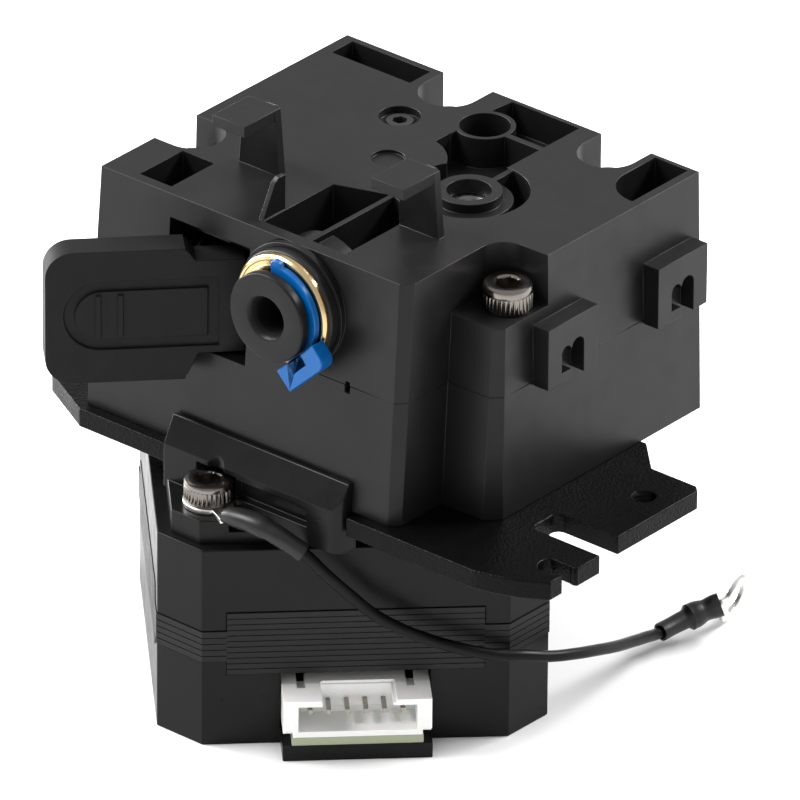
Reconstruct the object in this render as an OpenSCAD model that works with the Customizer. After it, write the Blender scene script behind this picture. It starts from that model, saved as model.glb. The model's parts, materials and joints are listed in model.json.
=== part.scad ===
// Direct-drive filament extruder: a stepper motor, a steel mounting plate and a
// two-piece gear housing with a hobbed drive gear, a sprung idler and a tube coupler.
// Origin: motor axis at the motor's rear face. +Z runs up the motor shaft, -Y is the
// housing's front, where the tube coupler and the release lever are.

/* [Motor] */
// Width of the square motor frame
motor_w = 42.3; // [42:0.1:42.5]
// Length of the motor body, rear face to mounting face
motor_len = 23.8; // [23.6:0.1:24]
// Leg of the 45 degree cut on the motor's corners
motor_cut = 4.6; // [4.2:0.1:5]
// Turn of the motor about its axis, against the housing
motor_turn = 44; // [43:0.5:45]

/* [Housing] */
// Height of the housing's flat top above the motor's rear face
deck_z = 58.8; // [58.7:0.1:59]
// Height of the joint between the two housing halves
split_z = 44.8; // [44.6:0.1:45]
// Left side at the top
left_x = -19.9; // [-20.1:0.1:-19.7]
// Right side at the top
right_x = 29.5; // [29.4:0.1:29.7]
// Front face at the top
front_y = -17.0; // [-17.2:0.1:-16.9]
// Back face
back_y = 23.9; // [23.8:0.1:24.2]
// Lean of the front face
front_lean = 3.4; // [3:0.1:3.6]

/* [Plate] */
// Thickness of the steel mounting plate
plate_t = 2.2; // [2:0.1:2.3]
// Underside of the plate above the motor's rear face
plate_z = 28.1; // [28.1:0.1:28.2]

/* [Gears] */
// Module of all the gears
gear_module = 0.5; // [0.5:0.1:0.5]
// Teeth on the motor pinion
pinion_teeth = 13; // [13:1:13]
// Teeth on the reduction gear
reduction_teeth = 44; // [44:1:44]
// Teeth on the two hobbed gears
hob_teeth = 23; // [23:1:23]

/* [Filament path] */
// Distance of the path to the right of the motor axis
path_x = 7.75; // [7.7:0.05:7.8]
// Height of the path
path_z = 52; // [51.9:0.1:52.1]
// Filament diameter
filament_d = 1.75; // [1.7:0.05:1.8]
// Tube diameter that the coupler takes
tube_d = 4; // [4:0.1:4.1]

/* [Ground wire] */
// Wire diameter
wire_d = 1.3; // [1.2:0.1:1.4]
// Heat-shrink diameter
sleeve_d = 1.9; // [1.8:0.1:2]

/* [Hidden] */

// Colours of the materials
BLACK = [0.07, 0.07, 0.075];
DARK = [0.11, 0.11, 0.115];
STEEL = [0.62, 0.61, 0.6];
NICKEL = [0.5, 0.47, 0.44];
BRASS = [0.8, 0.6, 0.3];
WHITE = [0.92, 0.91, 0.88];
BLUE = [0.05, 0.4, 0.95];
COPPER = [0.7, 0.4, 0.2];
GREEN = [0.55, 0.62, 0.35];

// Running clearance on a radius, and the gap that parts butt against
run_gap = 0.03;
fit_gap = 0.05;
big = 80;

// Frame of the motor
half_w = motor_w / 2;
bell_split_low = 8.6;
bell_split_high = 16.1;
tab_low = 10.2;
tab_high = 13.9;
tab_edge = 13.9;
hole_pitch = 31;
hole_at = hole_pitch / 2;
pilot_r = 11;
pilot_h = 2;
shaft_r = 2.5;
shaft_top = 41.6;
rotor_r = 10.8;
stator_bore_r = 11.1;
bell_bore_r = 16.2;
pole_count = 8;

// Connector on the motor's front face
socket_w = 16;
socket_low = 2.8;
socket_high = 7.2;
socket_out = 4.1;
socket_in = 2.5;
seat_t = 1.8;
board_t = 1;
pin_pitch = 2;

// Flange between the motor and the plate
flange_inset = 1.5;
flange_cut = 2.9;
flange_base_t = 1.4;
pad_top = 26.6;
wall_front = -20.8;
wall_back = -18.75;
wall_foot = -17.9;
wall_left = -7.8;
wall_right = 16.9;
wall_round = 1.6;
rim_top = 33.8;
rim_slope = 62;
slope_low = 30.8;

// Plate
plate_top = plate_z + plate_t;
plate_front = -20.1;

// M3 screws
m3_r = 1.5;
m3_hole_r = 1.58;
m3_head_r = 2.75;
m3_head_h = 3;
m3_hex = 2.5;
ground_head_h = 2.5;
eye_r = 2.85;
eye_t = 0.6;
ledge_z = 52.84;

// Housing screws: left, back left, back right and front right
SCREWS = [[-17.3, -4.8], [-2.75, 20.7], [19.4, 20.9], [26.5, -4.6]];
notch_r = 3.45;
boss_r = 3.3;
skin = 1.8;
left_lean = 1.2;
right_lean = 1.5;
notch_x = 23;
notch_y = -1.6;
column_y = -9.7;

// Gear train, worked out from the path and the teeth
function pitch_r(teeth) = gear_module * teeth / 2;
gear_distance = pitch_r(pinion_teeth) + pitch_r(reduction_teeth);
drive_x = path_x + pitch_r(hob_teeth);
drive_y = sqrt(gear_distance * gear_distance - drive_x * drive_x);
idler_x = path_x - pitch_r(hob_teeth);
drive_angle = atan2(drive_y, drive_x);
pressure = 25;
backlash = 0.1;
hob_z0 = 46.4;
hob_z1 = 53.8;
hob_split = 50.2;
drive_shaft_r = 2;
bearing_r = 4;
bearing_h = 3;
lower_bearing_z = 31.9;
upper_bearing_z = 54;

// Idler arm
pivot = [-3.2, 12.9];
pivot_r = 2.9;
arm_low = 44.2;
arm_high = 55.2;
spine_low = 46.2;
spine_high = 51.6;
lever_turn = 46;
lever_root = [-2, -17.5];
spring_y = -10.8;
spring_z = 48.9;

// Coupler, measured along -Y from its axis point on the front
collet_front = -22.3;
brass_front = -19.9;
ring_front = -19.1;
guide_y = -2.2;
barrel_back = -11.9;

// Ground wire route from the screw's ring terminal to the free ring terminal
ROUTE = [[3.9, -24.1, 27.6], [7.1, -23.9, 27.8], [10.2, -23.4, 27.2], [13.0, -22.0, 25.3],
         [14.8, -20.6, 22.9], [16.5, -18.5, 20.0], [18.3, -16.4, 17.3], [20.2, -14.3, 15.4],
         [21.8, -12.1, 13.9], [23.7, -10.1, 12.8], [25.5, -7.9, 11.8], [27.1, -5.6, 11.0],
         [28.4, -3.1, 10.4], [29.3, -0.2, 9.4], [29.8, 3.6, 8.3], [29.6, 7.6, 7.0], [29.0, 11.4, 5.6],
         [28.3, 15.0, 4.4], [27.6, 18.4, 3.3], [27.1, 21.6, 2.4], [27.7, 25.0, 2.8], [28.6, 27.2, 3.3],
         [29.8, 28.6, 3.9]];
sleeve_rings = 3;
free_ring_at = [28.7, 31.9, 3.1];

// ---------- shared shapes ----------

// A cylinder with true bores, from z0 to z1
module rod(r, z0, z1, fn = 64) {
    translate([0, 0, z0]) cylinder(r = r, h = z1 - z0, $fn = fn);
}

module box(x0, y0, z0, x1, y1, z1) {
    translate([x0, y0, z0]) cube([x1 - x0, y1 - y0, z1 - z0]);
}

// Places children on the motor's turned frame
module on_motor() {
    rotate([0, 0, motor_turn]) children();
}

// Places children with their +Z along the housing's -Y, on the filament path at depth y
module on_path(y) {
    translate([path_x, y, path_z]) rotate([90, 0, 0]) children();
}

module motor_outline(inset = 0, cut = motor_cut) {
    h = half_w - inset;
    c = h - cut;
    polygon([[-h, -c], [-c, -h], [c, -h], [h, -c], [h, c], [c, h], [-c, h], [-h, c]]);
}

module motor_slab(z0, z1, inset = 0, cut = motor_cut) {
    on_motor() translate([0, 0, z0]) linear_extrude(z1 - z0) motor_outline(inset, cut);
}

// The four blocks at the motor's corners where the bells reach over the stack
module corner_zones(z0, z1) {
    on_motor() for (x = [-1, 1], y = [-1, 1]) {
        cx = x > 0 ? tab_edge : -big;
        cy = y > 0 ? tab_edge : -big;
        box(cx, cy, z0, cx + big - tab_edge * (x > 0 ? 0 : 1), cy + big - tab_edge * (y > 0 ? 0 : 1), z1);
    }
}

module motor_holes(r, z0, z1, points) {
    on_motor() for (p = points) translate([p[0] * hole_at, p[1] * hole_at, 0]) rod(r, z0, z1, 32);
}

ALL_HOLES = [[-1, -1], [1, -1], [1, 1], [-1, 1]];
FLAT_HOLES = [[1, -1], [-1, 1]];
GROUND_HOLE = [[-1, -1]];

// Socket cap screw, head seat at z = 0
module cap_screw(length, head = m3_head_h) {
    difference() {
        union() {
            rod(m3_head_r, 0, head - 0.3);
            translate([0, 0, head - 0.3]) cylinder(r1 = m3_head_r, r2 = m3_head_r - 0.3, h = 0.3, $fn = 64);
            rod(m3_r, -length, 0, 48);
        }
        translate([0, 0, head - 1.6]) cylinder(d = m3_hex / cos(30), h = 2, $fn = 6);
    }
}

// Flat-headed screw, top of the head at z = 0
module flat_screw(length) {
    difference() {
        union() {
            translate([0, 0, -1.7]) cylinder(r1 = m3_r, r2 = 2.9, h = 1.4, $fn = 48);
            rod(2.9, -0.3, 0, 48);
            rod(m3_r, -length, -1.69, 48);
        }
        translate([0, 0, -1.1]) cylinder(d = 2 / cos(30), h = 2, $fn = 6);
    }
}

// Points of one gear tooth flank pair, with involute flanks
function inv(a) = tan(a) * 180 / PI - a;
function flank(r, rb) = r > rb ? inv(acos(rb / r)) : 0;
function tooth(teeth, m, slim) =
    let (rp = m * teeth / 2, rb = rp * cos(pressure), ra = rp + 0.92 * m, rf = rp - 1.2 * m,
         half = 90 / teeth - slim / 2 / rp * 180 / PI,
         radii = [rf, max(rb, rf + 0.02), (rp + rb) / 2 + 0.05, rp, (rp + ra) / 2, ra])
    [for (r = radii) [r, half + inv(pressure) - flank(r, rb)]];

module gear_outline(teeth, slim = backlash) {
    side = tooth(teeth, gear_module, slim);
    n = len(side);
    polygon([for (i = [0:teeth - 1], k = [0:2 * n - 1])
        let (p = k < n ? side[k] : side[2 * n - 1 - k], s = k < n ? -1 : 1, a = i * 360 / teeth + s * p[1])
        [p[0] * cos(a), p[0] * sin(a)]]);
}

// Gear with a tooth centred on angle aim, or a gap there
module gear(teeth, z0, z1, aim, gap = false) {
    rotate([0, 0, aim + (gap ? 180 / teeth : 0)])
        translate([0, 0, z0]) linear_extrude(z1 - z0) gear_outline(teeth);
}

// Deep-groove bearing from its bottom face, with recessed shields on both sides
module ball_bearing(bore_r, outer_r, h) {
    mid = (bore_r + outer_r) / 2;
    rotate_extrude($fn = 72) polygon([[bore_r, 0], [mid - 0.45, 0], [mid - 0.45, 0.2], [mid + 0.45, 0.2],
        [mid + 0.45, 0], [outer_r, 0], [outer_r, h], [mid + 0.45, h], [mid + 0.45, h - 0.2],
        [mid - 0.45, h - 0.2], [mid - 0.45, h], [bore_r, h]]);
}

// ---------- motor ----------

module motor_bell_solid(z0, z1, tab0, tab1) {
    motor_slab(z0, z1);
    intersection() {
        motor_slab(tab0, tab1);
        corner_zones(tab0 - 1, tab1 + 1);
    }
}

module motor_rear_bell() color(BLACK) difference() {
    union() {
        motor_bell_solid(0, bell_split_low, bell_split_low, tab_low);
        on_motor() box(-socket_w / 2 - 0.1, -half_w - socket_out, 0, socket_w / 2 + 0.1, -half_w + 1, seat_t);
    }
    rod(bell_bore_r, 2.2, big);
    rod(shaft_r + 1, 1.1, 3, 48);
    on_motor() box(-socket_w / 2 - 0.1, -half_w - 0.1, seat_t, socket_w / 2 + 0.1, -15, big);
    motor_holes(m3_hole_r, -1, big, ALL_HOLES);
    motor_holes(2.9, -1, 1.9, ALL_HOLES);
}

module motor_stator() color(DARK) difference() {
    motor_slab(bell_split_low, bell_split_high);
    corner_zones(bell_split_low - 1, tab_low);
    corner_zones(tab_high, bell_split_high + 1);
    difference() {
        rod(bell_bore_r, 0, big, 96);
        for (i = [0:pole_count - 1]) rotate([0, 0, i * 360 / pole_count]) {
            box(12.2, -1.5, 0, bell_bore_r + 1, 1.5, big);
            intersection() {
                box(stator_bore_r - 0.5, -3.6, 0, 12.8, 3.6, big);
                rod(12.8, 0, big, 96);
            }
        }
    }
    rod(stator_bore_r, 0, big, 96);
    motor_holes(m3_hole_r, 0, big, ALL_HOLES);
}

module motor_windings() color(COPPER) for (i = [0:pole_count - 1]) rotate([0, 0, i * 360 / pole_count])
    difference() {
        box(13.0, -2.7, 7.4, 15.4, 2.7, 17.3);
        box(12, -1.55, bell_split_low - 0.05, 16, 1.55, bell_split_high + 0.05);
    }

module motor_front_bell() color(BLACK) difference() {
    union() {
        motor_bell_solid(bell_split_high, motor_len, tab_high, bell_split_high);
        rod(pilot_r, motor_len - 0.1, motor_len + pilot_h, 96);
    }
    rod(bell_bore_r, -1, 18.6);
    rod(6.55, 18, 23.9);
    rod(shaft_r + 0.6, 18, big, 48);
    motor_holes(m3_r + 0.02, 12, big, ALL_HOLES);
}

module motor_case_screws() color(NICKEL) on_motor()
    for (p = ALL_HOLES) translate([p[0] * hole_at, p[1] * hole_at, 1.85]) mirror([0, 0, 1]) cap_low_screw();

module cap_low_screw() {
    difference() {
        union() {
            rod(2.7, 0, 1.6, 48);
            rod(m3_r, -16.5, 0, 48);
        }
        translate([0, 0, 0.6]) cylinder(d = 2 / cos(30), h = 2, $fn = 6);
    }
}

module motor_rear_bearing() color(STEEL) translate([0, 0, 2.25]) ball_bearing(shaft_r + run_gap, 6.5, 4);

module motor_front_bearing() color(STEEL) translate([0, 0, 19.8]) ball_bearing(shaft_r + run_gap, 6.5, 4);

module motor_rotor() color(STEEL) difference() {
    union() {
        rod(rotor_r, 8.8, 15.9, 96);
        rod(4.2, 6.6, 19.2);
    }
    rod(shaft_r, 0, big);
    difference() {
        rod(12, 11.9, 12.8, 96);
        rod(rotor_r - 0.5, 11, 14, 96);
    }
}

module motor_shaft() color(STEEL) difference() {
    union() {
        rod(shaft_r, 1.4, shaft_top - 0.4);
        translate([0, 0, shaft_top - 0.4]) cylinder(r1 = shaft_r, r2 = shaft_r - 0.4, h = 0.4, $fn = 64);
    }
    translate([2, -5, 29]) cube([5, 10, 20]);
}

module motor_pinion() color(STEEL) difference() {
    union() {
        gear(pinion_teeth, 35, 41.2, drive_angle);
        rod(4.1, 32.7, 35);
    }
    difference() {
        rod(shaft_r, 0, big);
        translate([2, -5, 0]) cube([5, 10, big]);
    }
}

// ---------- connector ----------

module connector_housing() color(WHITE) on_motor() {
    f = -half_w - socket_out + 0.05;
    b = -half_w + socket_in;
    w = socket_w / 2;
    difference() {
        union() {
            box(-w, f + 1, socket_low, w, b, socket_high);
            box(-w + 1, f, socket_low, w - 1, b, socket_high);
            box(-w, f, socket_low + 0.7, w, f + 1.2, socket_high);
        }
        box(-w + 1.6, f - 1, socket_low + 0.7, w - 1.6, b - 2.2, socket_high - 0.7);
        box(-w + 4.2, f - 1, socket_low + 1.4, w - 4.2, f + 4.4, big);
        // the top wall is lower in the middle, and its front edge is set back there
        box(-3.6, f - 1, socket_high - 0.35, 4.2, f + 4.6, big);
        // key slots
        for (s = [-1, 1]) translate([s * 5.9, b - 1.6, 0]) box(-0.45, -1.8, socket_high - 1, 0.45, 4, big);
    }
}

module connector_pins() color(STEEL) on_motor() for (i = [0:5]) {
    x = (i - 2.5) * pin_pitch;
    box(x - 0.25, -half_w - 2.4, 4.75, x + 0.25, -half_w + socket_in - 2.2, 5.25);
}

module connector_board() color(GREEN) on_motor()
    box(-socket_w / 2 + 0.9, -half_w - socket_out + 0.1, seat_t,
        socket_w / 2 - 0.9, -half_w + 4, seat_t + board_t);

// ---------- flange, plate and their screws ----------

module flange_slab(z0, z1) {
    motor_slab(z0, z1, flange_inset, flange_cut);
}

module motor_flange() color(BLACK) difference() {
    union() {
        difference() {
            flange_slab(motor_len, motor_len + flange_base_t);
            box(12.6, -big, 0, big, -8, big);
        }
        // body that carries the plate
        intersection() {
            flange_slab(motor_len, plate_z);
            box(-big, wall_foot - 0.2, 0, 12.6, big, big);
        }
        intersection() {
            flange_slab(motor_len, plate_z);
            box(12, -8, 0, big, big, big);
        }
        ground_pad();
        front_wall();
    }
    rod(pilot_r + fit_gap, 0, motor_len + pilot_h + fit_gap, 96);
    rod(6, 0, big);
    motor_holes(m3_hole_r, 0, big, ALL_HOLES);
    // shallow recess in the wall's front, beside the ground lead
    box(2.4, wall_front - 1, 27.7, 12.3, wall_front + 1, 29.9);
    // room round the ground screw's ring terminal
    motor_holes(eye_r + 0.15, pad_top, plate_z + 2.1, GROUND_HOLE);
}

module ground_pad() intersection() {
    flange_slab(motor_len, pad_top);
    on_motor() box(-big, -big, 0, -13.6, 0, big);
    box(-big, -big, 0, big, wall_foot, big);
}

module wall_outline(back) {
    polygon([[wall_left, back], [wall_left, wall_front], [wall_right - wall_round, wall_front],
             [wall_right - wall_round, wall_front + wall_round], [wall_right, wall_front + wall_round],
             [wall_right, back]]);
    translate([wall_right - wall_round, wall_front + wall_round]) circle(r = wall_round, $fn = 48);
}

// Wall in front of the housing, with a sloped top that ends in a rim
module front_wall() {
    low = motor_len + flange_base_t + 0.4;
    translate([0, 0, low]) linear_extrude(plate_top - fit_gap - low) wall_outline(wall_foot);
    difference() {
        translate([0, 0, plate_z]) linear_extrude(rim_top - plate_z) wall_outline(wall_back);
        translate([0, wall_front, slope_low]) rotate([rim_slope, 0, 0]) box(-big, -10, 0, big, 10, 20);
        housing_front_lean() box(-big, -0.03, -60, big, 40, 20);
    }
    intersection() {
        flange_slab(motor_len, low + 0.1);
        box(wall_left, wall_front, 0, 12.4, wall_foot, big);
    }
}

module flange_screws() color(NICKEL) on_motor()
    for (p = FLAT_HOLES) translate([p[0] * hole_at, p[1] * hole_at, plate_top - 0.05]) flat_screw(10.5);

module ground_screw() color(NICKEL) on_motor()
    translate([-hole_at, -hole_at, pad_top + eye_t + 0.02]) cap_screw(6, ground_head_h);

module plate_outline() {
    difference() {
        union() {
            polygon([[-28, -15.9], [-20.4, plate_front], [34.6, plate_front - 0.1], [37.4, -19.6],
                     [40, -18.7], [42.9, -16.9], [42.9, -8.9], [41.9, -4.4], [41.9, 9.1], [41.1, 9.9],
                     [34.9, 9.9], [30.9, 13.9], [27.4, 13.9], [27.4, 23.6], [-20.5, 23.6], [-28, 12]]);
            translate([35.1, -18.5]) circle(r = 1.6, $fn = 48);
        }
        // room for the flange's front wall
        translate([wall_left - 0.3, -30]) square([wall_right + 0.7 - wall_left, 30 + wall_foot + 0.3]);
        // keyhole slot
        translate([40.9, -13.8]) circle(r = 1.75, $fn = 48);
        translate([40.9, -14.85]) square([5, 2.1]);
        // open slot with rounded inner corners
        translate([34.6, -8.8]) square([20, 4.4]);
        translate([33.6, -7.8]) square([3, 2.4]);
        for (y = [-7.8, -5.4]) translate([34.6, y]) circle(r = 1, $fn = 40);
    }
    translate([36, -12.65]) square([7.1, 3.85]);
}

module mounting_plate() color(DARK) difference() {
    translate([0, 0, plate_z]) linear_extrude(plate_t) plate_outline();
    rod(6, 0, big);
    for (p = SCREWS) translate([p[0], p[1], 0]) rod(m3_r + 0.02, 0, big, 48);
    motor_holes(m3_hole_r, 0, big, FLAT_HOLES);
    on_motor() for (p = FLAT_HOLES) translate([p[0] * hole_at, p[1] * hole_at, plate_top])
        translate([0, 0, -1.75]) cylinder(r1 = m3_r + fit_gap, r2 = 2.9 + 0.4, h = 1.8, $fn = 48);
    translate([38.3, 4.4, 0]) rod(1.25, 0, big, 48);
    for (y = [-10.5, 9.5]) translate([-24.6, y, 0]) rod(1.7, 0, big, 48);
}

// ---------- housing ----------

// The plane of the leaning front face, with children built behind it in +Y
module housing_front_lean() {
    translate([0, front_y, deck_z]) rotate([-front_lean, 0, 0]) children();
}

// Solid block between two heights, inset from the outer faces
module housing_block(z0, z1, inset = 0) intersection() {
    box(-big, -big, z0, big, back_y - inset, z1);
    housing_front_lean() box(-big, inset, -big, big, big, big);
    translate([left_x, 0, deck_z]) rotate([0, left_lean, 0]) box(inset, -big, -big, big, big, big);
    translate([right_x, 0, deck_z]) rotate([0, -right_lean, 0]) box(-big, -big, -big, -inset, big, big);
}

// The corner cut away in front of the right-hand screw column
module corner_cut(z0, z1, inset = 0) {
    intersection() {
        box(notch_x - inset, -big, z0, big, 0, z1);
        translate([0, column_y + inset, ledge_z]) rotate([-front_lean, 0, 0])
            box(-big, -big, -big, big, 0, big);
    }
}

module notch_shapes(r) {
    for (k = [0, 1, 2]) translate(SCREWS[k]) circle(r = r, $fn = 64);
    translate([-30, SCREWS[0][1] - r]) square([30 + SCREWS[0][0], 2 * r]);
    for (k = [1, 2]) translate([SCREWS[k][0] - r, SCREWS[k][1]]) square([2 * r, 20]);
}

// The L-shaped notch above the front right column, with a rounded inner corner
module column_notch(grow = 0) {
    x = notch_x - grow;
    y = notch_y + grow;
    translate([x, -40]) square([30, 40 + y - 3]);
    translate([x + 3, -40]) square([30, 40 + y]);
    translate([x + 3, y - 3]) circle(r = 3, $fn = 64);
}

module screw_bosses(z0, z1) {
    for (p = SCREWS) translate([p[0], p[1], 0]) rod(boss_r, z0, z1, 48);
}

module screw_holes() {
    for (p = SCREWS) translate([p[0], p[1], 0]) rod(m3_hole_r, 0, big, 48);
}

// Window that the release lever comes out of
module lever_window() box(-10, -30, 42.2, 1.2, -14.6, 56.05);

// Flats on the front corner beside the notch and on the column's corner
module corner_flats() {
    for (c = [[notch_x, front_y, deck_z, 0.78], [right_x, column_y, ledge_z, 0.55]])
        translate([c[0], c[1], c[2]]) rotate([-front_lean, 0, 0]) rotate([0, 0, 45])
            box(-2, -2, -big, 2, c[3], big);
}

module lower_housing() color(BLACK) difference() {
    housing_block(plate_top, split_z);
    difference() {
        housing_block(plate_top + 2, split_z + 1, skin);
        corner_cut(0, big, skin);
        screw_bosses(0, big);
        translate([drive_x, drive_y, 0]) rod(5.3, 0, lower_bearing_z + 2.9);
    }
    corner_cut(0, big);
    corner_flats();
    screw_holes();
    rod(5, 0, big);
    translate([drive_x, drive_y, 0]) rod(bearing_r + 0.02, lower_bearing_z, big);
    translate([drive_x, drive_y, 0]) rod(2.6, plate_top + 0.5, big);
    lever_window();
    // step in the joint line at the front
    box(15.1, -30, split_z - 0.9, 15.8, front_y + 0.4, big);
}

// Cavity of the upper housing, lower where the pockets are
module upper_cavity() {
    difference() {
        housing_block(split_z - 1, 54, skin);
        corner_cut(0, big, skin);
        screw_bosses(0, big);
        // walls round the notches and the notch over the column
        translate([0, 0, ledge_z - 1.6]) linear_extrude(20) {
            notch_shapes(notch_r + 1.2);
            column_notch(1.6);
        }
        coupler_block();
        tub(-15.6, -15.7, -11.1, -8.6, 5.6);
        tub(-18.5, 19.6, -7.4, 23.1, 8);
        tub(23.8, 13.9, 28.4, 23.4, 8);
        translate([12.6, back_y - 4.4, path_z - 3.6]) mirror([1, 0, 0]) cube([9.7, 10, 20]);
    }
    // extra height round the idler
    translate([0, 0, 53]) linear_extrude(56.4 - 53) {
        translate([idler_x, drive_y]) circle(r = 6.3, $fn = 72);
        translate(pivot) circle(r = 4, $fn = 48);
        polygon([[-9.6, 8], [-7, 15.5], [-0.2, 16], [1.4, 9], [-3, 0], [-9.6, -2]]);
    }
}

// Walls that stay round a pocket cut from the top
module tub(x0, y0, x1, y1, depth) {
    box(x0 - 1.2, y0 - 1.2, deck_z - depth - 1.2, x1 + 1.2, y1 + 1.2, deck_z);
}

module coupler_block() {
    box(0.6, -30, split_z - 2, 14.9, guide_y, big);
}

module deck_pockets() {
    box(-15.6, -15.7, deck_z - 5.6, -11.1, -8.6, big);
    box(-18.5, 19.6, deck_z - 8, -7.4, 23.1, big);
    // back right pocket, with its front left corner well rounded
    translate([0, 0, deck_z - 8]) linear_extrude(20) {
        translate([23.8, 18.3]) square([4.6, 5.1]);
        intersection() {
            translate([23.8, 13.9]) square([4.6, 4.5]);
            translate([28.2, 18.3]) circle(r = 4.4, $fn = 64);
        }
    }
    // pockets on both sides of the path, up to the coupler's barrel in front
    difference() {
        translate([0, 0, path_z + 1.4]) linear_extrude(20)
            polygon([[1.65, -15.4], [13, -15.4], [13, -4], [path_x + 0.7, -1.9], [path_x, -1.9], [1.65, -4]]);
        on_path(barrel_back) cylinder(r = 6.1, h = 20, $fn = 96);
        on_path(0) cylinder(r = 2, h = 20, $fn = 64);
        box(path_x + 0.05, -20, 0, path_x + 0.65, 0, big);
    }
    // pocket round the tube boss, kept clear of the idler
    translate([0, 0, 55.2]) linear_extrude(20) difference() {
        polygon([[3.5, 10.4], [3.5, 20.8], [3.9, 23.4], [13.3, 23.4], [13.3, 6.2], [7, 4]]);
        translate([idler_x, drive_y]) circle(r = 6.5, $fn = 72);
        translate([5.15, 17.25]) circle(r = 3.35, $fn = 64);
        translate([5.15, 16.6]) square([9, 0.75]);
        translate([0, 13.3]) square([3.6, 7.6]);
        translate([drive_x, drive_y]) circle(r = 4.8, $fn = 96);
    }
    translate([5.15, 17.25, 0]) rod(2.8, 55.2, big);
    // ring recess over the drive shaft
    translate([drive_x, drive_y, 0]) difference() {
        rod(6.6, 55.2, big);
        rod(4.8, 0, 57.7);
        rod(3.6, 0, big);
        box(-0.1, 3, 0, 0.6, 8, deck_z - 0.2);
    }
    translate([drive_x, drive_y, 0]) rod(2.46, 50, big);
    // dimple over the idler and the recess round its pivot pin
    translate([idler_x + 0.15, drive_y, 0]) rod(1.85, deck_z - 0.4, big, 48);
    translate([pivot[0], pivot[1], 0]) rod(2.3, deck_z - 0.9, big, 48);
    translate([pivot[0], pivot[1], 0]) rod(m3_r + 0.02, 50, big, 48);
}

// Snap hook that stands on the deck; x is its middle
module deck_hook(x) {
    cap_z = deck_z + 7.7;
    translate([x, 0, 0]) {
        box(-2.25, -11.5, cap_z - 1.3, 2.25, -5.5, cap_z);
        translate([0, -5.5, 0]) rotate([90, 0, 0]) linear_extrude(1)
            polygon([[-2.8, deck_z - 0.5], [3, deck_z - 0.5], [2.25, cap_z], [-2.25, cap_z]]);
        translate([-0.2, -5.5, 0]) rotate([90, 0, 90]) linear_extrude(1.2)
            polygon([[-0.2, deck_z - 0.4], [1.7, deck_z - 0.4], [1.5, cap_z - 1.4], [1.1, cap_z - 0.6],
                     [0.5, cap_z - 0.3], [-0.2, cap_z - 0.3]]);
    }
}

// Latch block on the right-hand face, with a stepped arched slot; y is its front edge
module side_latch(y) {
    difference() {
        union() {
            box(28.6, y, split_z, 31.9, y + 8.3, 51.5);
            box(29.93, y, split_z - 0.5, 31.9, y + 8.3, split_z + 1);
        }
        translate([0, y + 4.15, 0]) {
            box(30.4, -1.85, 45.5, big, 0.2, 47.7);
            box(30.1, -0.2, 40, big, 1.85, 47.8);
            translate([30.1, 0.82, 47.8]) rotate([0, 90, 0]) cylinder(r = 1.03, h = 5, $fn = 48);
            translate([30.4, -1.05, 47.7]) rotate([0, 90, 0]) cylinder(r = 0.8, h = 5, $fn = 48);
        }
    }
}

module upper_housing() color(BLACK) difference() {
    union() {
        difference() {
            housing_block(split_z, deck_z);
            upper_cavity();
        }
        translate([drive_x, drive_y, 0]) rod(5.2, upper_bearing_z, 55.4);
        translate([pivot[0], pivot[1], 0]) rod(3, 55.6, 57);
        on_path(-17.2) cylinder(r = 7, h = 0.8, $fn = 96);
        deck_hook(-6.7);
        deck_hook(15.5);
        for (y = [-4.2, 14.3]) side_latch(y);
        // fin beside the left coupler pocket
        translate([0.9, 0, 0]) rotate([90, 0, 90]) linear_extrude(0.6)
            polygon([[-15.4, deck_z - 0.5], [-15.4, deck_z], [-13.4, deck_z + 3.7], [-12.7, deck_z + 4.2],
                     [-11.7, deck_z + 4.1], [-11.7, deck_z - 0.5]]);
    }
    corner_cut(0, big);
    corner_flats();
    translate([0, 0, ledge_z]) linear_extrude(20) {
        notch_shapes(notch_r);
        column_notch();
    }
    deck_pockets();
    screw_holes();
    translate([drive_x, drive_y, 0]) rod(bearing_r + 0.02, 50, upper_bearing_z + bearing_h + fit_gap);
    lever_window();
    coupler_bores();
    box(15.15, -30, split_z - 1, 15.75, front_y + 0.2, split_z + 0.4);
}

// Stepped bore for the coupler and the filament
module coupler_bores() {
    on_path(-12.9) cylinder(r = 5.02, h = 20, $fn = 96);
    on_path(-18.0) cylinder(r = 6.55, h = 20, $fn = 96);
    on_path(10) cylinder(r = 1.32, h = 24, $fn = 48);
    on_path(40) cylinder(r = 1.32, h = 26, $fn = 48);
}

module housing_screws() color(NICKEL) for (p = SCREWS)
    translate([p[0], p[1], ledge_z + 0.02]) cap_screw(24.5);

// ---------- gear train ----------

module reduction_gear() color(WHITE) translate([drive_x, drive_y, 0]) difference() {
    union() {
        gear(reduction_teeth, 35.6, 40.6, drive_angle + 180, true);
        rod(4.4, 35.3, 42.4);
    }
    rod(drive_shaft_r, 0, big);
    for (z = [34.9, 39.6]) difference() {
        rod(9.6, z, z + 1.6, 72);
        rod(5.6, z - 1, z + 3);
    }
    for (i = [0:5]) rotate([0, 0, i * 60]) translate([7.5, 0, 0]) rod(1.3, 30, 50, 40);
}

module drive_shaft() color(STEEL) translate([drive_x, drive_y, 0]) rod(drive_shaft_r, 31.2, 56.6);

// Hobbed gear: synchronising teeth below, a hobbed groove above
module hobbed_gear(aim, gap) {
    difference() {
        union() {
            gear(hob_teeth, hob_z0, hob_split, aim, gap);
            rod(5.55, hob_split, hob_z1, 96);
        }
        translate([0, 0, path_z]) rotate_extrude($fn = 96) translate([5.75, 0]) circle(r = 1.05, $fn = 32);
    }
}

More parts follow.
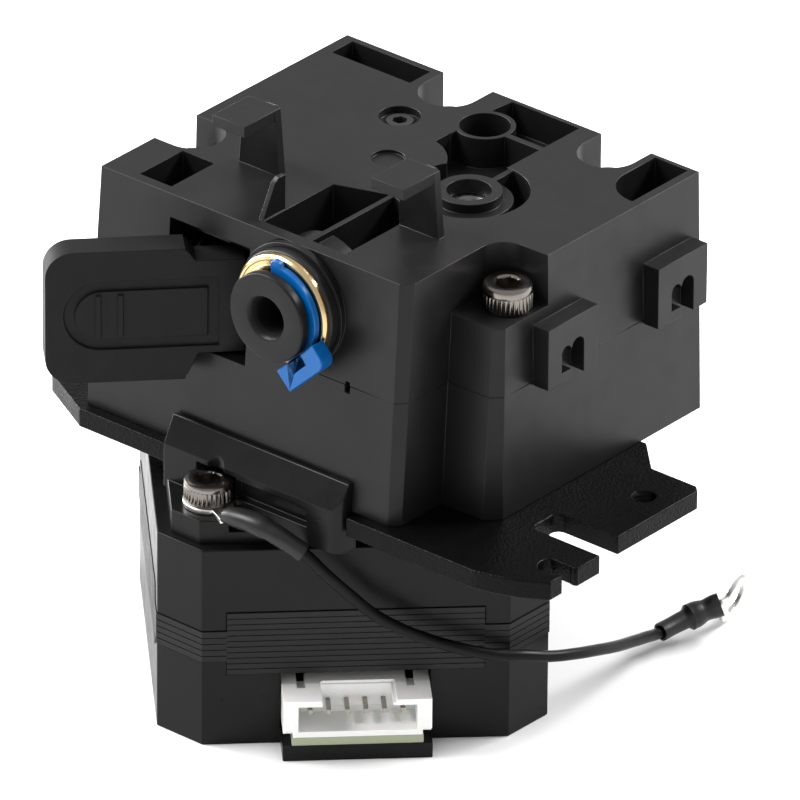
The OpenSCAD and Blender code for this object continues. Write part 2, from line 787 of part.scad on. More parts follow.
module drive_gear() color(STEEL) translate([drive_x, drive_y, 0]) difference() {
    union() {
        hobbed_gear(180, false);
        rod(3.8, 42.8, hob_z0);
    }
    rod(drive_shaft_r, 0, big);
}

module shaft_lower_bearing() color(STEEL) translate([drive_x, drive_y, lower_bearing_z])
    ball_bearing(drive_shaft_r + run_gap, bearing_r, bearing_h);

module shaft_upper_bearing() color(STEEL) translate([drive_x, drive_y, upper_bearing_z])
    ball_bearing(drive_shaft_r + run_gap, bearing_r, bearing_h);

// ---------- idler ----------

module idler_gear() color(STEEL) translate([idler_x, drive_y, 0]) difference() {
    hobbed_gear(0, true);
    rod(2.5 + run_gap, 0, big);
}

module idler_bushing() color(BRASS) translate([idler_x, drive_y, 0]) difference() {
    rod(2.5, hob_z0 + 0.1, hob_z1 - 0.1);
    rod(1.5 + run_gap, 0, big);
}

module idler_axle() color(STEEL) translate([idler_x, drive_y, 0]) rod(1.5, arm_low + 0.2, arm_high - 0.2, 48);

module idler_pivot_pin() color(DARK) translate([pivot[0], pivot[1], 0]) difference() {
    rod(m3_r, 33.2, deck_z - 0.5, 48);
    translate([0, 0, deck_z - 1.8]) cylinder(d = 1.5 / cos(30), h = 3, $fn = 6);
}

// Flat arm from the pivot past the idler to the lever
module arm_spine(z0, z1) {
    translate([0, 0, z0]) linear_extrude(z1 - z0)
        polygon([[-6.4, 13.6], [-8.4, 6], [-8.4, -6], [-6.6, -14.6], [-2.4, -14.6], [-4.6, -6], [-4.9, 4.5],
                 [-2.6, 9.8]]);
}

module arm_ear(z0, z1) {
    translate([idler_x, drive_y, 0]) rod(3.4, z0, z1);
    translate([0, 0, z0]) linear_extrude(z1 - z0)
        polygon([[idler_x, drive_y - 3.4], [-8.4, 1], [-8.4, 6.5], [-6, 13], [-1, 13],
                 [idler_x, drive_y + 3.4]]);
    translate([pivot[0], pivot[1], 0]) rod(pivot_r, z0, z1);
}

// Places children on the lever's own line: +X runs back into the housing, +Y to its hidden side
module on_lever() {
    translate([lever_root[0], lever_root[1], 0]) rotate([0, 0, lever_turn]) children();
}

// Paddle outline in its own plane, length along X and height along Y
module paddle_outline() {
    x1 = -4.2;
    x0 = -19.3;
    r = 3;
    difference() {
        union() {
            translate([x0 + r, 39.5]) square([x1 - x0 - r, 15.8]);
            translate([x0, 39.5 + r]) square([5, 15.8 - 2 * r]);
            for (y = [39.5 + r, 55.3 - r]) translate([x0 + r, y]) circle(r = r, $fn = 48);
            translate([x1 - 1, 42.6]) square([7.4, 11.2]);
            // ramps from the paddle to the neck
            polygon([[x1 - 0.5, 39.5], [x1 + 0.3, 40.2], [x1 + 1.3, 42.4], [x1 + 1.6, 43],
                     [x1 - 0.5, 43]]);
            polygon([[x1 - 0.5, 55.3], [x1 + 0.3, 54.9], [x1 + 1.0, 53.9], [x1 + 1.4, 53.2],
                     [x1 - 0.5, 53.2]]);
        }
    }
}

module lever_groove() {
    // shallow groove, a D with its round end to the left
    difference() {
        d_shape(0);
        d_shape(1.2);
    }
}

module d_shape(inset) {
    r = 4.1 - inset;
    translate([-13.2, 47.6]) circle(r = r, $fn = 64);
    translate([-13.2, 47.6 - r]) square([12.6 - inset, 2 * r]);
}

module lever_plate() {
    on_lever() difference() {
        translate([0, 3.4, 0]) rotate([90, 0, 0]) linear_extrude(3.4) paddle_outline();
        translate([0, 0.35, 0]) rotate([90, 0, 0]) linear_extrude(1) lever_groove();
    }
    on_lever() for (x = [-13.9, -11.5]) box(x, -0.3, 45.1, x + 0.6, 0.5, 50.1);
}

module idler_arm() color(BLACK) difference() {
    union() {
        lever_plate();
        arm_spine(spine_low, spine_high);
        arm_ear(arm_low, hob_z0 - 0.2);
        arm_ear(hob_z1 + 0.2, arm_high);
        // web that joins the ears and the spine behind the idler
        difference() {
            translate([0, 0, arm_low]) linear_extrude(arm_high - arm_low)
                polygon([[-8.4, 1], [-8.4, 6.5], [-6.2, 13.2], [-3, 9.9], [-4.9, 5.5], [-4.9, 1]]);
            translate([idler_x, drive_y, 0]) rod(6.6, 0, big, 72);
        }
        translate([pivot[0], pivot[1], 0]) rod(pivot_r, arm_low, arm_high);
        translate([-8.8, spring_y, spring_z]) rotate([0, 90, 0]) cylinder(r = 2.9, h = 2.2, $fn = 48);
    }
    translate([idler_x, drive_y, 0]) rod(1.5, 0, big, 48);
    translate([pivot[0], pivot[1], 0]) rod(m3_r + run_gap, 0, big, 48);
    // relief on the lever's hidden side, so that it swings clear of the lower housing
    box(-12, -18.9, 39, 0, -14.7, 42.55);
}

// Side faces and end caps of a swept polygon with a number of rings
function swept_faces(rings, sides) = concat(
    [for (i = [0:rings - 2], k = [0:sides - 1])
        [i * sides + k, i * sides + (k + 1) % sides, (i + 1) * sides + (k + 1) % sides, (i + 1) * sides + k]],
    [[for (k = [sides - 1:-1:0]) k]],
    [[for (k = [0:sides - 1]) (rings - 1) * sides + k]]);

// Compression spring between the left wall and the arm
spring_turns = 5;
spring_r = 2.1;
spring_wire_r = 0.35;
spring_x0 = -17.6;
spring_x1 = -9.2;
spring_steps = 10;
function spring_point(i, k, sides) =
    let (a = i * 360 / spring_steps, b = k * 360 / sides, r = spring_r + spring_wire_r * cos(b))
    [spring_x0 + (spring_x1 - spring_x0) * i / spring_turns / spring_steps + spring_wire_r * sin(b),
     r * cos(a), r * sin(a)];

module idler_spring() color(STEEL) {
    sides = 6;
    rings = spring_turns * spring_steps + 1;
    points = [for (i = [0:rings - 1], k = [0:sides - 1]) spring_point(i, k, sides)];
    translate([0, spring_y, spring_z]) polyhedron(points, swept_faces(rings, sides));
}

// ---------- filament guides and coupler ----------

module filament_inlet_guide() color(BRASS) on_path(0) difference() {
    rod(1.3, -1.6, 12, 48);
    rod(filament_d / 2 + 0.15, -5, 20, 40);
}

module filament_outlet_guide() color(BRASS) on_path(0) difference() {
    rod(1.3, -24.4, -14.8, 48);
    rod(filament_d / 2 + 0.1, -40, 0, 40);
}

module coupler_ring() color(BLACK) on_path(0) difference() {
    rod(6.5, 18.02, -ring_front, 96);
    rod(5.05, 0, 30, 96);
}

module coupler_body() color(BRASS) on_path(0) difference() {
    union() {
        rod(5, 12.95, 19.3, 96);
        rod(6.3, -ring_front, -brass_front - 0.3, 96);
        translate([0, 0, -brass_front - 0.3]) cylinder(r1 = 6.3, r2 = 6, h = 0.3, $fn = 96);
    }
    rod(tube_d / 2 + 0.05, 13.2, 40, 48);
    rod(3.3, 13.6, 40, 64);
    rod(1.4, 0, 20, 40);
}

module coupler_seal() color(BLACK) on_path(0) translate([0, 0, 14.25])
    rotate_extrude($fn = 72) translate([2.66, 0]) circle(r = 0.6, $fn = 32);

module collet() color(BLACK) on_path(0) difference() {
    union() {
        rod(3.2, 15.25, 20.4, 64);
        rod(3.5, 20.25, 21.2, 64);
        rod(5.1, 21.1, -collet_front - 0.3, 96);
        translate([0, 0, -collet_front - 0.3]) cylinder(r1 = 5.1, r2 = 4.8, h = 0.3, $fn = 96);
    }
    rod(tube_d / 2 + 0.05, 0, 40, 48);
    translate([0, 0, -collet_front - 0.5]) cylinder(r1 = tube_d / 2 + 0.05, r2 = 2.55, h = 0.51, $fn = 48);
}

// Blue locking clip: a C with a tab
module collet_clip() color(BLUE) on_path(0) {
    translate([0, 0, 19.95]) linear_extrude(0.8) difference() {
        circle(r = 5.6, $fn = 96);
        circle(r = 3.6, $fn = 96);
        polygon([[0, 0], [12 * cos(97), 12 * sin(97)], [-14, 14], [12 * cos(-170), 12 * sin(-170)]]);
    }
    // knob at the upper end of the C
    translate([0, 5.5, 19.95]) cylinder(r = 0.75, h = 0.8, $fn = 40);
    rotate([0, 0, -46]) difference() {
        translate([0, 0, 19.95]) linear_extrude(1.9) difference() {
            union() {
                translate([5.2, -3.4]) square([2.7, 5.6]);
                translate([5.2, -3.4]) square([1.5, 6.8]);
                translate([6.7, 2.2]) circle(r = 1.2, $fn = 40);
            }
            circle(r = 5.3, $fn = 96);
        }
        translate([5.35, -1.2, 0]) cube([1.2, 2.2, 40]);
    }
}

// ---------- ground wire ----------

// Ring terminal in the XY plane: an eye and a neck along +X
module ring_terminal(neck) {
    difference() {
        union() {
            rod(eye_r, 0, eye_t, 64);
            box(2, -0.75, 0, neck, 0.75, eye_t);
        }
        rod(m3_r + 0.1, -1, 2, 48);
    }
}

ground_at = [hole_at * (-cos(motor_turn) + sin(motor_turn)), hole_at * (-sin(motor_turn) - cos(motor_turn))];

module ground_ring() color(STEEL) translate([ground_at[0], ground_at[1], pad_top + 0.01])
    rotate([0, 0, -27]) ring_terminal(4.9);

// Sweeps a regular polygon along points; each ring stands square to the route
function unit(v) = v / norm(v);
function along(p, i) = unit(p[min(i + 1, len(p) - 1)] - p[max(i - 1, 0)]);
module tube(p, r, sides = 8) {
    n = len(p);
    rings = [for (i = [0:n - 1], k = [0:sides - 1])
        let (t = along(p, i), u = unit(cross(t, [0, 0, 1])), v = cross(u, t), a = (k + 0.5) * 360 / sides)
        p[i] + r * (cos(a) * u + sin(a) * v)];
    polyhedron(rings, swept_faces(n, sides));
}

last = len(ROUTE) - 1;
module ground_sleeve() color(DARK) tube([for (i = [0:sleeve_rings]) ROUTE[i]], sleeve_d / 2);

module ground_wire() color(BLACK) tube([for (i = [sleeve_rings:last - 3]) ROUTE[i]], wire_d / 2);

module free_sleeve() color(DARK) tube([for (i = [last - 3:last]) ROUTE[i]], sleeve_d / 2);

module free_ring() color(STEEL) translate(free_ring_at)
    rotate([0, 105.4, 11.3]) rotate([0, 0, -104.3]) ring_terminal(4.2);

motor_rear_bell();
motor_stator();
motor_windings();
motor_front_bell();
motor_case_screws();
motor_rear_bearing();
motor_front_bearing();
motor_rotor();
motor_shaft();
motor_pinion();
connector_housing();
connector_pins();
connector_board();
motor_flange();
flange_screws();
mounting_plate();
lower_housing();
upper_housing();
housing_screws();
reduction_gear();
drive_shaft();
drive_gear();
shaft_lower_bearing();
shaft_upper_bearing();
idler_arm();
idler_gear();
idler_axle();
idler_bushing();
idler_pivot_pin();
idler_spring();
filament_inlet_guide();
filament_outlet_guide();
coupler_ring();
coupler_body();
coupler_seal();
collet();
collet_clip();
ground_screw();
ground_ring();
ground_sleeve();
ground_wire();
free_sleeve();
free_ring();
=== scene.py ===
import json
import math

import bmesh
import bpy
from mathutils import Matrix, Vector


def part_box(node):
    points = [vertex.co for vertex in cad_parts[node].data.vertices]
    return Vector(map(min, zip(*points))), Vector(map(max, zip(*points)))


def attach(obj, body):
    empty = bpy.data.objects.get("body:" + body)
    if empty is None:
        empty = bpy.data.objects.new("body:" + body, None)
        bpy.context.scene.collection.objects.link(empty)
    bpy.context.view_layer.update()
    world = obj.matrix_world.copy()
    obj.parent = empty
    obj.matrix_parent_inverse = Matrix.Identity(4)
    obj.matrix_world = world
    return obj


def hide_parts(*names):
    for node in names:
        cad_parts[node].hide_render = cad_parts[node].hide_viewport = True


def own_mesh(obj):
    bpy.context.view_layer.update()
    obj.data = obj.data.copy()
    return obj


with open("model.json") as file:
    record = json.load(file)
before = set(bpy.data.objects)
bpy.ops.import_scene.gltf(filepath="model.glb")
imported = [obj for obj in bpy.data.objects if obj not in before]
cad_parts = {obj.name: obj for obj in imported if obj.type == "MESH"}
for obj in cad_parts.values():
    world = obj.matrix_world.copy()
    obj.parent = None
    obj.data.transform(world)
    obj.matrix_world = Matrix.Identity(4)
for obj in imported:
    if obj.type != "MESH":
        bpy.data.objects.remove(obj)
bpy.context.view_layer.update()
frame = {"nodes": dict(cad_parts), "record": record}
NODES = frame["nodes"]
MM = 0.001

# ---------- camera, floor and light ----------

AIM = Vector((6.15, 2.11, 31.65)) * MM
CAMERA_AZIMUTH = math.radians(39.785)
CAMERA_ELEVATION = math.radians(28.243)
CAMERA_ROLL = math.radians(0.489)
CAMERA_DISTANCE = 1.8548
CAMERA_LENS = 773.5


def direction(azimuth, elevation):
    """Unit vector from the object towards a viewer at that azimuth and elevation."""
    level = math.cos(elevation)
    return Vector((math.sin(azimuth) * level, -math.cos(azimuth) * level, math.sin(elevation)))


def make_camera():
    data = bpy.data.cameras.new("camera")
    data.sensor_width = 36
    data.lens = CAMERA_LENS
    data.clip_start = 0.1
    data.clip_end = 20
    camera = bpy.data.objects.new("camera", data)
    bpy.context.scene.collection.objects.link(camera)
    back = direction(CAMERA_AZIMUTH, CAMERA_ELEVATION)
    turn = back.to_track_quat("Z", "Y").to_matrix().to_4x4()
    roll = Matrix.Rotation(CAMERA_ROLL, 4, "Z")
    camera.matrix_world = Matrix.Translation(AIM + back * CAMERA_DISTANCE) @ turn @ roll
    bpy.context.scene.camera = camera


def softbox(name, azimuth, elevation, distance, width, height, power):
    """A rectangular lamp that faces the object."""
    data = bpy.data.lights.new(name, "AREA")
    data.shape = "RECTANGLE"
    data.size = width
    data.size_y = height
    data.energy = power
    lamp = bpy.data.objects.new(name, data)
    bpy.context.scene.collection.objects.link(lamp)
    away = direction(math.radians(azimuth), math.radians(elevation))
    lamp.location = AIM + away * distance
    lamp.rotation_euler = away.to_track_quat("Z", "Y").to_euler()


def make_studio():
    mesh = bpy.data.meshes.new("floor")
    half = 3.0
    corners = [(-half, -half, 0), (half, -half, 0), (half, half, 0), (-half, half, 0)]
    mesh.from_pydata(corners, [], [(0, 1, 2, 3)])
    floor = bpy.data.objects.new("floor", mesh)
    bpy.context.scene.collection.objects.link(floor)
    floor.location.z = -0.02 * MM
    mesh.materials.append(plain_material("floor_white", (0.82, 0.82, 0.82), 0.9))
    world = bpy.data.worlds.new("studio")
    bpy.context.scene.world = world
    world.use_nodes = True
    background = world.node_tree.nodes["Background"]
    background.inputs["Color"].default_value = (1, 1, 1, 1)
    background.inputs["Strength"].default_value = 0.75
    softbox("front_edges", -58, 46, 0.9, 0.5, 0.3, 11)
    softbox("side_edges", 152, 38, 0.9, 0.5, 0.22, 11)
    softbox("left_faces", -84, 12, 0.8, 0.16, 0.5, 9)
    bpy.context.scene.view_settings.view_transform = "Standard"


# ---------- materials ----------

# The part of the noise's range that is used, how far roughness drifts, and the scale of both drifts
NOISE_LOW = 0.3
NOISE_HIGH = 0.7
ROUGHNESS_DRIFT = 0.05
COLOR_DRIFT_SCALE = 160.0
ROUGHNESS_DRIFT_SCALE = COLOR_DRIFT_SCALE * 2.3


def plain_material(name, color, roughness):
    made = bpy.data.materials.new(name)
    made.use_nodes = True
    shader = made.node_tree.nodes["Principled BSDF"]
    shader.inputs["Base Color"].default_value = (*color, 1)
    shader.inputs["Roughness"].default_value = roughness
    return made


def add(tree, kind, **values):
    """A new node with its properties and its unlinked sockets set."""
    node = tree.nodes.new(kind)
    for key, value in values.items():
        if key in node.inputs:
            node.inputs[key].default_value = value
        else:
            setattr(node, key, value)
    return node


def noise(tree, coordinates, scale, detail=3.0, stretch=None):
    """Noise on the object's own coordinates; stretch draws it out along an axis."""
    source = coordinates
    if stretch:
        mapping = add(tree, "ShaderNodeMapping")
        mapping.inputs["Scale"].default_value = stretch
        tree.links.new(coordinates, mapping.inputs["Vector"])
        source = mapping.outputs["Vector"]
    node = add(tree, "ShaderNodeTexNoise", Scale=scale, Detail=detail)
    tree.links.new(source, node.inputs["Vector"])
    return node.outputs["Fac"]


def ramp(tree, factor, low, high):
    """Maps noise to a range of values."""
    node = add(tree, "ShaderNodeMapRange")
    node.inputs["From Min"].default_value = NOISE_LOW
    node.inputs["From Max"].default_value = NOISE_HIGH
    node.inputs["To Min"].default_value = low
    node.inputs["To Max"].default_value = high
    tree.links.new(factor, node.inputs["Value"])
    return node.outputs["Result"]


def surface(name, color, roughness, metallic=0.0, vary=0.15, grain=5000.0, bump=0.1, depth=0.00002,
            stretch=None, detail=3.0, gloss=0.5, sockets=None):
    """A surface whose colour and roughness drift a little, with a fine grain in its bump."""
    made = bpy.data.materials.new(name)
    made.use_nodes = True
    tree = made.node_tree
    shader = tree.nodes["Principled BSDF"]
    place = add(tree, "ShaderNodeTexCoord").outputs["Object"]
    drift = noise(tree, place, COLOR_DRIFT_SCALE)
    mix = add(tree, "ShaderNodeMix", data_type="RGBA")
    mix.inputs["A"].default_value = (*[c * (1 - vary) for c in color], 1)
    mix.inputs["B"].default_value = (*[min(1, c * (1 + vary)) for c in color], 1)
    tree.links.new(drift, mix.inputs["Factor"])
    tree.links.new(mix.outputs["Result"], shader.inputs["Base Color"])
    sheen = ramp(tree, noise(tree, place, ROUGHNESS_DRIFT_SCALE), roughness - ROUGHNESS_DRIFT,
                 roughness + ROUGHNESS_DRIFT)
    tree.links.new(sheen, shader.inputs["Roughness"])
    shader.inputs["Metallic"].default_value = metallic
    shader.inputs["Specular IOR Level"].default_value = gloss
    relief = add(tree, "ShaderNodeBump", Strength=bump, Distance=depth)
    tree.links.new(noise(tree, place, grain, detail, stretch), relief.inputs["Height"])
    tree.links.new(relief.outputs["Normal"], shader.inputs["Normal"])
    for key, value in (sockets or {}).items():
        shader.inputs[key].default_value = value
    return made


def coated(name, color, roughness):
    """Powder coat: a dense pitted skin with small glossy flecks, over slow waves in its sheen."""
    made = surface(name, color, roughness, grain=2600, bump=0.9, depth=0.00005, detail=2.0, gloss=0.07)
    tree = made.node_tree
    shader = tree.nodes["Principled BSDF"]
    place = tree.nodes["Texture Coordinate"].outputs["Object"]
    flecks = add(tree, "ShaderNodeTexVoronoi", Scale=3600.0)
    tree.links.new(place, flecks.inputs["Vector"])
    pits = add(tree, "ShaderNodeBump", Strength=0.8, Distance=0.00005)
    tree.links.new(flecks.outputs["Distance"], pits.inputs["Height"])
    relief = tree.nodes["Bump"]
    tree.links.new(relief.outputs["Normal"], pits.inputs["Normal"])
    tree.links.new(pits.outputs["Normal"], shader.inputs["Normal"])
    return made


MATERIALS = {
    "housing_black": surface("housing_black", (0.007, 0.0066, 0.0068), 0.38, grain=3200, bump=0.16,
                             gloss=0.2),
    "lever_black": surface("lever_black", (0.007, 0.0066, 0.0068), 0.52, grain=7000, bump=0.3, gloss=0.13),
    "plate_black": coated("plate_black", (0.002, 0.002, 0.002), 0.34),
    "motor_black": surface("motor_black", (0.005, 0.0047, 0.0046), 0.32, grain=1200, bump=0.16, gloss=0.14),
    "stack_black": surface("stack_black", (0.007, 0.0068, 0.0068), 0.4, grain=9000, bump=0.3, gloss=0.2,
                           stretch=(1, 1, 0.1)),
    "screw_nickel": surface("screw_nickel", (0.2, 0.18, 0.165), 0.22, metallic=1, grain=9000, bump=0.15),
    "ring_nickel": surface("ring_nickel", (0.74, 0.73, 0.71), 0.3, metallic=1, grain=4000, bump=0.25),
    "pin_metal": surface("pin_metal", (0.3, 0.28, 0.24), 0.3, metallic=1, grain=9000, bump=0.1),
    "steel": surface("steel", (0.55, 0.55, 0.56), 0.28, metallic=1, grain=6000, bump=0.15),
    "black_steel": surface("black_steel", (0.01, 0.01, 0.01), 0.35, grain=6000, bump=0.15, gloss=0.4),
    "copper": surface("copper", (0.62, 0.25, 0.1), 0.35, metallic=1, grain=6000, bump=0.15),
    "brass": surface("brass", (0.6, 0.44, 0.23), 0.22, metallic=1, grain=7000, bump=0.15, stretch=(1, 6, 1)),
    "connector_white": surface("connector_white", (0.86, 0.86, 0.84), 0.42, vary=0.03, grain=5000, bump=0.1,
                               sockets={"Subsurface Weight": 0.15, "Subsurface Scale": 0.0006}),
    "board_green": surface("board_green", (0.34, 0.37, 0.25), 0.6, grain=9000, bump=0.3, stretch=(1, 1, 8)),
    "gear_white": surface("gear_white", (0.8, 0.79, 0.74), 0.4, vary=0.04),
    "collet_black": surface("collet_black", (0.008, 0.008, 0.0085), 0.36, grain=9000, bump=0.3, gloss=0.15),
    "clip_blue": surface("clip_blue", (0.0, 0.09, 0.31), 0.34, vary=0.08, grain=3000, bump=0.12, gloss=0.28,
                         sockets={"Subsurface Weight": 0.1, "Subsurface Scale": 0.0006}),
    "wire_black": surface("wire_black", (0.003, 0.003, 0.003), 0.36, grain=4000, bump=0.2, gloss=0.12),
    "sleeve_black": surface("sleeve_black", (0.01, 0.01, 0.0105), 0.36, grain=1400, bump=0.4, depth=0.00005,
                            gloss=0.3),
    "seal_black": surface("seal_black", (0.008, 0.008, 0.008), 0.4, grain=4000, bump=0.2, gloss=0.3),
}
SLOTS = {part["node"]: part["material_slot"] for part in frame["record"]["subparts"]}
BODIES = {node: body for body, nodes in frame["record"]["behaviour"]["bodies"].items() for node in nodes}


def paint(piece, slot):
    piece.data.materials.clear()
    piece.data.materials.append(MATERIALS[slot])


for cad_name, cad_object in NODES.items():
    paint(cad_object, SLOTS[cad_name])

# ---------- pieces ----------

SMOOTH_ANGLE = math.radians(32)
EDGE_ANGLE = math.radians(28)
FLAT_ANGLE = math.radians(0.6)
MERGE_DISTANCE = 0.002 * MM
FACE_WEIGHT = 80


def new_piece(name, mesh, nodes, slot=None, body=None):
    """An object that stands for CAD nodes, or adds to a body, with its finish."""
    piece = bpy.data.objects.new(name, mesh)
    bpy.context.scene.collection.objects.link(piece)
    slot = slot or SLOTS[nodes[0]]
    piece.data.materials.append(MATERIALS[slot])
    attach(piece, body or BODIES[nodes[0]])
    if nodes:
        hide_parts(*nodes)
    return piece


def mesh_from(builder, name):
    mesh = bpy.data.meshes.new(name)
    bmesh.ops.recalc_face_normals(builder, faces=builder.faces)
    builder.to_mesh(mesh)
    builder.free()
    mesh.shade_smooth()
    mesh.set_sharp_from_angle(angle=SMOOTH_ANGLE)
    return mesh


def bake_modifiers(piece):
    """Swaps the piece's mesh for the one that its modifiers make."""
    graph = bpy.context.evaluated_depsgraph_get()
    mesh = bpy.data.meshes.new_from_object(piece.evaluated_get(graph), depsgraph=graph)
    piece.modifiers.clear()
    piece.data = mesh


def rounded(node, width, joined=True):
    """The node's shape with its sharp edges rounded, as moulded, cast or deburred parts have.

    With joined, the triangles of a flat face become one face first."""
    source = NODES[node]
    builder = bmesh.new()
    builder.from_mesh(source.data)
    bmesh.ops.remove_doubles(builder, verts=builder.verts, dist=MERGE_DISTANCE)
    if joined:
        bmesh.ops.dissolve_limit(builder, angle_limit=FLAT_ANGLE, verts=builder.verts,
                                 edges=builder.edges, delimit={"NORMAL"})
    piece = new_piece(node + "_moulded", mesh_from(builder, node + "_moulded"), [node])
    bevel = piece.modifiers.new("edges", "BEVEL")
    bevel.width = width
    bevel.segments = 2
    bevel.limit_method = "ANGLE"
    bevel.angle_limit = EDGE_ANGLE
    bevel.use_clamp_overlap = False
    even = piece.modifiers.new("even", "WEIGHTED_NORMAL")
    even.keep_sharp = True
    even.weight = FACE_WEIGHT
    bake_modifiers(piece)
    return piece


# ---------- ground lead ----------

ROUTE = [[3.9, -24.1, 27.6], [7.1, -23.9, 27.8], [10.2, -23.4, 27.2], [13.0, -22.0, 25.3],
         [14.8, -20.6, 22.9], [16.5, -18.5, 20.0], [18.3, -16.4, 17.3], [20.2, -14.3, 15.4],
         [21.8, -12.1, 13.9], [23.7, -10.1, 12.8], [25.5, -7.9, 11.8], [27.1, -5.6, 11.0],
         [28.4, -3.1, 10.4], [29.3, -0.2, 9.4], [29.8, 3.6, 8.3], [29.6, 7.6, 7.0], [29.0, 11.4, 5.6],
         [28.3, 15.0, 4.4], [27.6, 18.4, 3.3], [27.1, 21.6, 2.4], [27.7, 25.0, 2.8], [28.6, 27.2, 3.3],
         [29.8, 28.6, 3.9]]
POINTS = [Vector(p) * MM for p in ROUTE]
NEAR_SLEEVE_END = 3
FREE_SLEEVE_START = len(POINTS) - 4
WIRE_R = 0.65 * MM
TUBE_SIDES = 24
TUBE_WALL = 0.22 * MM


def spline_points(points, steps):
    """Points on a smooth curve through the given ones."""
    result = []
    last = len(points) - 1
    for i in range(last):
        a, b, c, d = points[max(i - 1, 0)], points[i], points[i + 1], points[min(i + 2, last)]
        for k in range(steps):
            t = k / steps
            result.append(0.5 * (2 * b + (c - a) * t + (2 * a - 5 * b + 4 * c - d) * t ** 2
                                 + (3 * b - a - 3 * c + d) * t ** 3))
    result.append(points[last])
    return result


def sweep(builder, path, size_at, lumps):
    """A tube along the path; size_at gives its half width and half height at a share of its length.

    It is open at its start, with a wall and a hollow that show round the wire."""
    rings = []
    last = len(path) - 1
    stations = [(3, TUBE_WALL), (0, TUBE_WALL)] + [(i, 0) for i in range(last + 1)]
    for i, cut in stations:
        along = (path[min(i + 1, last)] - path[max(i - 1, 0)]).normalized()
        across = along.cross(Vector((0, 0, 1))).normalized()
        up = across.cross(along)
        wide, high = size_at(i / last)
        ring = []
        for k in range(TUBE_SIDES):
            angle = 2 * math.pi * k / TUBE_SIDES
            swell = 1 + lumps(i / last, angle)
            ring.append(builder.verts.new(path[i] + across * math.cos(angle) * (wide * swell - cut)
                                          + up * math.sin(angle) * (high * swell - cut)))
        rings.append(ring)
    for low, high in zip(rings, rings[1:]):
        for k in range(TUBE_SIDES):
            builder.faces.new((low[k], low[(k + 1) % TUBE_SIDES], high[(k + 1) % TUBE_SIDES], high[k]))
    builder.faces.new(rings[0][::-1])
    builder.faces.new(rings[-1])


def make_wire():
    curve = bpy.data.curves.new("ground_lead", "CURVE")
    curve.dimensions = "3D"
    curve.bevel_depth = WIRE_R
    curve.bevel_resolution = 6
    curve.resolution_u = 8
    curve.use_fill_caps = True
    spline = curve.splines.new("BEZIER")
    spline.bezier_points.add(len(POINTS) - 1)
    for knot, point in zip(spline.bezier_points, POINTS):
        knot.co = point
        knot.handle_left_type = "AUTO"
        knot.handle_right_type = "AUTO"
    return new_piece("ground_lead", curve, ["ground_wire"])


def blend_steps(share, steps):
    """Values at shares of a length, joined by straight ramps."""
    for (a, low), (b, high) in zip(steps, steps[1:]):
        if share <= b:
            t = (share - a) / (b - a)
            return [x + (y - x) * t for x, y in zip(low, high)]
    return steps[-1][1]


def make_sleeve(name, node, points, steps):
    """Heat-shrink tube, a little lumpy, with a thicker second layer over the terminal's crimp."""
    def size_at(share):
        return [v * MM for v in blend_steps(share, steps)]

    def lumps(share, angle):
        return 0.02 * math.sin(share * 23 + 1) + 0.015 * math.sin(3 * angle + share * 9)

    builder = bmesh.new()
    sweep(builder, spline_points(points, 10), size_at, lumps)
    return new_piece(name, mesh_from(builder, name), [node])


# Half widths and half heights in mm, from the sleeve's open end to the ring terminal
NEAR_STEPS = [(0, (1.08, 1.08)), (0.42, (1.12, 1.1)), (0.46, (1.3, 1.28)), (0.75, (1.3, 1.15)),
              (0.92, (1.2, 0.95)), (1, (1.15, 0.8))]
FREE_STEPS = [(0, (1.03, 1.03)), (0.36, (1.06, 1.06)), (0.38, (1.5, 1.55)), (0.5, (1.45, 1.5)),
              (0.68, (1.15, 1.25)), (0.85, (1.0, 1.4)), (1, (0.75, 1.5))]
wire = make_wire()
near_sleeve = make_sleeve("near_shrink_tube", "ground_sleeve", POINTS[NEAR_SLEEVE_END::-1], NEAR_STEPS)
free_sleeve = make_sleeve("free_shrink_tube", "free_sleeve", POINTS[FREE_SLEEVE_START:], FREE_STEPS)
near_ring = rounded("ground_ring", 0.1 * MM)
free_ring = rounded("free_ring", 0.1 * MM)

# ---------- housing, plate and motor ----------

# Widths of the rounded edges in mm
EDGE_WIDTHS = {"upper_housing": 0.05, "lower_housing": 0.08, "idler_arm": 0.09, "mounting_plate": 0.14,
               "motor_flange": 0.1, "motor_front_bell": 0.15, "motor_rear_bell": 0.11,
               "connector_housing": 0.07, "connector_board": 0.06, "collet_clip": 0.12}
# Nodes whose faces fold over at their edges unless they stay triangles
KEPT_TRIANGLES = ("motor_rear_bell", "connector_housing")

for cad_name, edge in EDGE_WIDTHS.items():
    rounded(cad_name, edge * MM, joined=cad_name not in KEPT_TRIANGLES)

# ---------- idler spring ----------

SPRING_START = Vector((-17.6, -10.8, 48.9)) * MM
SPRING_END = Vector((-9.2, -10.8, 48.9)) * MM
SPRING_TURNS = 5
SPRING_R = 2.1 * MM
SPRING_WIRE_R = 0.34 * MM
STEPS_PER_TURN = 32
SPRING_SIDES = 12


